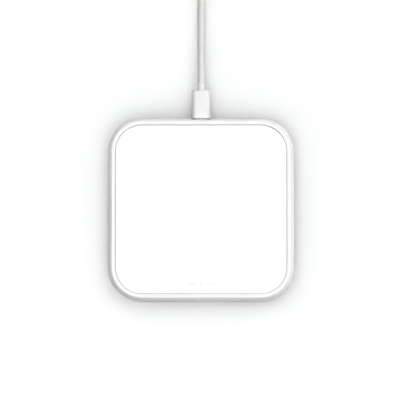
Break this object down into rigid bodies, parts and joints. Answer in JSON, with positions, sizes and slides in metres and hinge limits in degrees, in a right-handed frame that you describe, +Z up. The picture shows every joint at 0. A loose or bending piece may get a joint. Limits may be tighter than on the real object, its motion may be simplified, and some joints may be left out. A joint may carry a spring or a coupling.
{
  "type": "wireless charging pad",
  "caption": "Flat square pad with round corners that charges a phone laid on it, fed by a cable plugged into its back edge.",
  "frame": {"origin": "middle of the pad's underside, in the plane that its rubber foot stands on", "axes": "+Z up out of the charging surface, +Y to the back where the cable goes in, +X to the right seen from the front"},
  "size_m": [0.1393, 0.2438, 0.0095],
  "materials": {
    "white_satin": "satin white, fine moulded texture",
    "white_soft": "matt white soft-touch coating",
    "white_matt": "matt white, moulded",
    "foot_rubber": "matt grey silicone",
    "adhesive": "translucent adhesive film",
    "black_plastic": "matt black",
    "ferrite": "sintered ferrite, dark grey",
    "copper": "enamelled copper wire",
    "board_green": "green solder mask",
    "ceramic": "ceramic capacitor body",
    "plated_steel": "nickel-plated stamped steel",
    "screw_steel": "zinc-plated",
    "white_plug": "white moulded plug body",
    "cable_jacket": "smooth slightly warm white jacket",
    "tie_fabric": "grey hook-and-loop strap"
  },
  "bodies": {
    "pad": {"frame_ring": "white_satin", "top_cover": "white_soft", "cover_adhesive": "adhesive", "bottom_shell": "white_matt", "rubber_foot": "foot_rubber", "coil_carrier": "black_plastic", "ferrite_tape": "adhesive", "ferrite_disc": "ferrite", "transmit_coil": "copper", "thermistor_lead": "black_plastic", "thermistor_bead": "black_plastic", "circuit_board": "board_green", "controller_chip": "black_plastic", "buck_regulator": "black_plastic", "power_inductor": "ferrite", "bridge_transistor_1": "black_plastic", "bridge_transistor_2": "black_plastic", "resonant_capacitor_1": "ceramic", "resonant_capacitor_2": "ceramic", "resonant_capacitor_3": "ceramic", "input_capacitor_1": "ceramic", "input_capacitor_2": "ceramic", "current_sense_resistor": "black_plastic", "crystal_oscillator": "plated_steel", "usb_c_port_shell": "plated_steel", "usb_c_port_tongue": "black_plastic", "case_screw_1": "screw_steel", "board_screw_1": "screw_steel", "carrier_screw_1": "screw_steel", "case_screw_2": "screw_steel", "board_screw_2": "screw_steel", "carrier_screw_2": "screw_steel", "case_screw_3": "screw_steel", "board_screw_3": "screw_steel", "carrier_screw_3": "screw_steel", "case_screw_4": "screw_steel", "board_screw_4": "screw_steel", "carrier_screw_4": "screw_steel"},
    "cable": {"usb_c_plug_shell": "plated_steel", "usb_c_plug_insert": "black_plastic", "usb_c_plug_housing": "white_plug", "usb_c_plug_collar": "white_plug", "cable_run": "cable_jacket", "cable_coil": "cable_jacket", "cable_tie": "tie_fabric", "cable_tail": "cable_jacket", "usb_a_plug_collar": "white_plug", "usb_a_plug_housing": "white_plug", "usb_a_plug_shell": "plated_steel", "usb_a_plug_tongue": "black_plastic"}
  },
  "joints": [
    {"name": "plug_pull", "type": "slide", "parent": "pad", "child": "cable", "axis": [0, 1, 0], "range_m": [0, 0.012]}
  ]
}
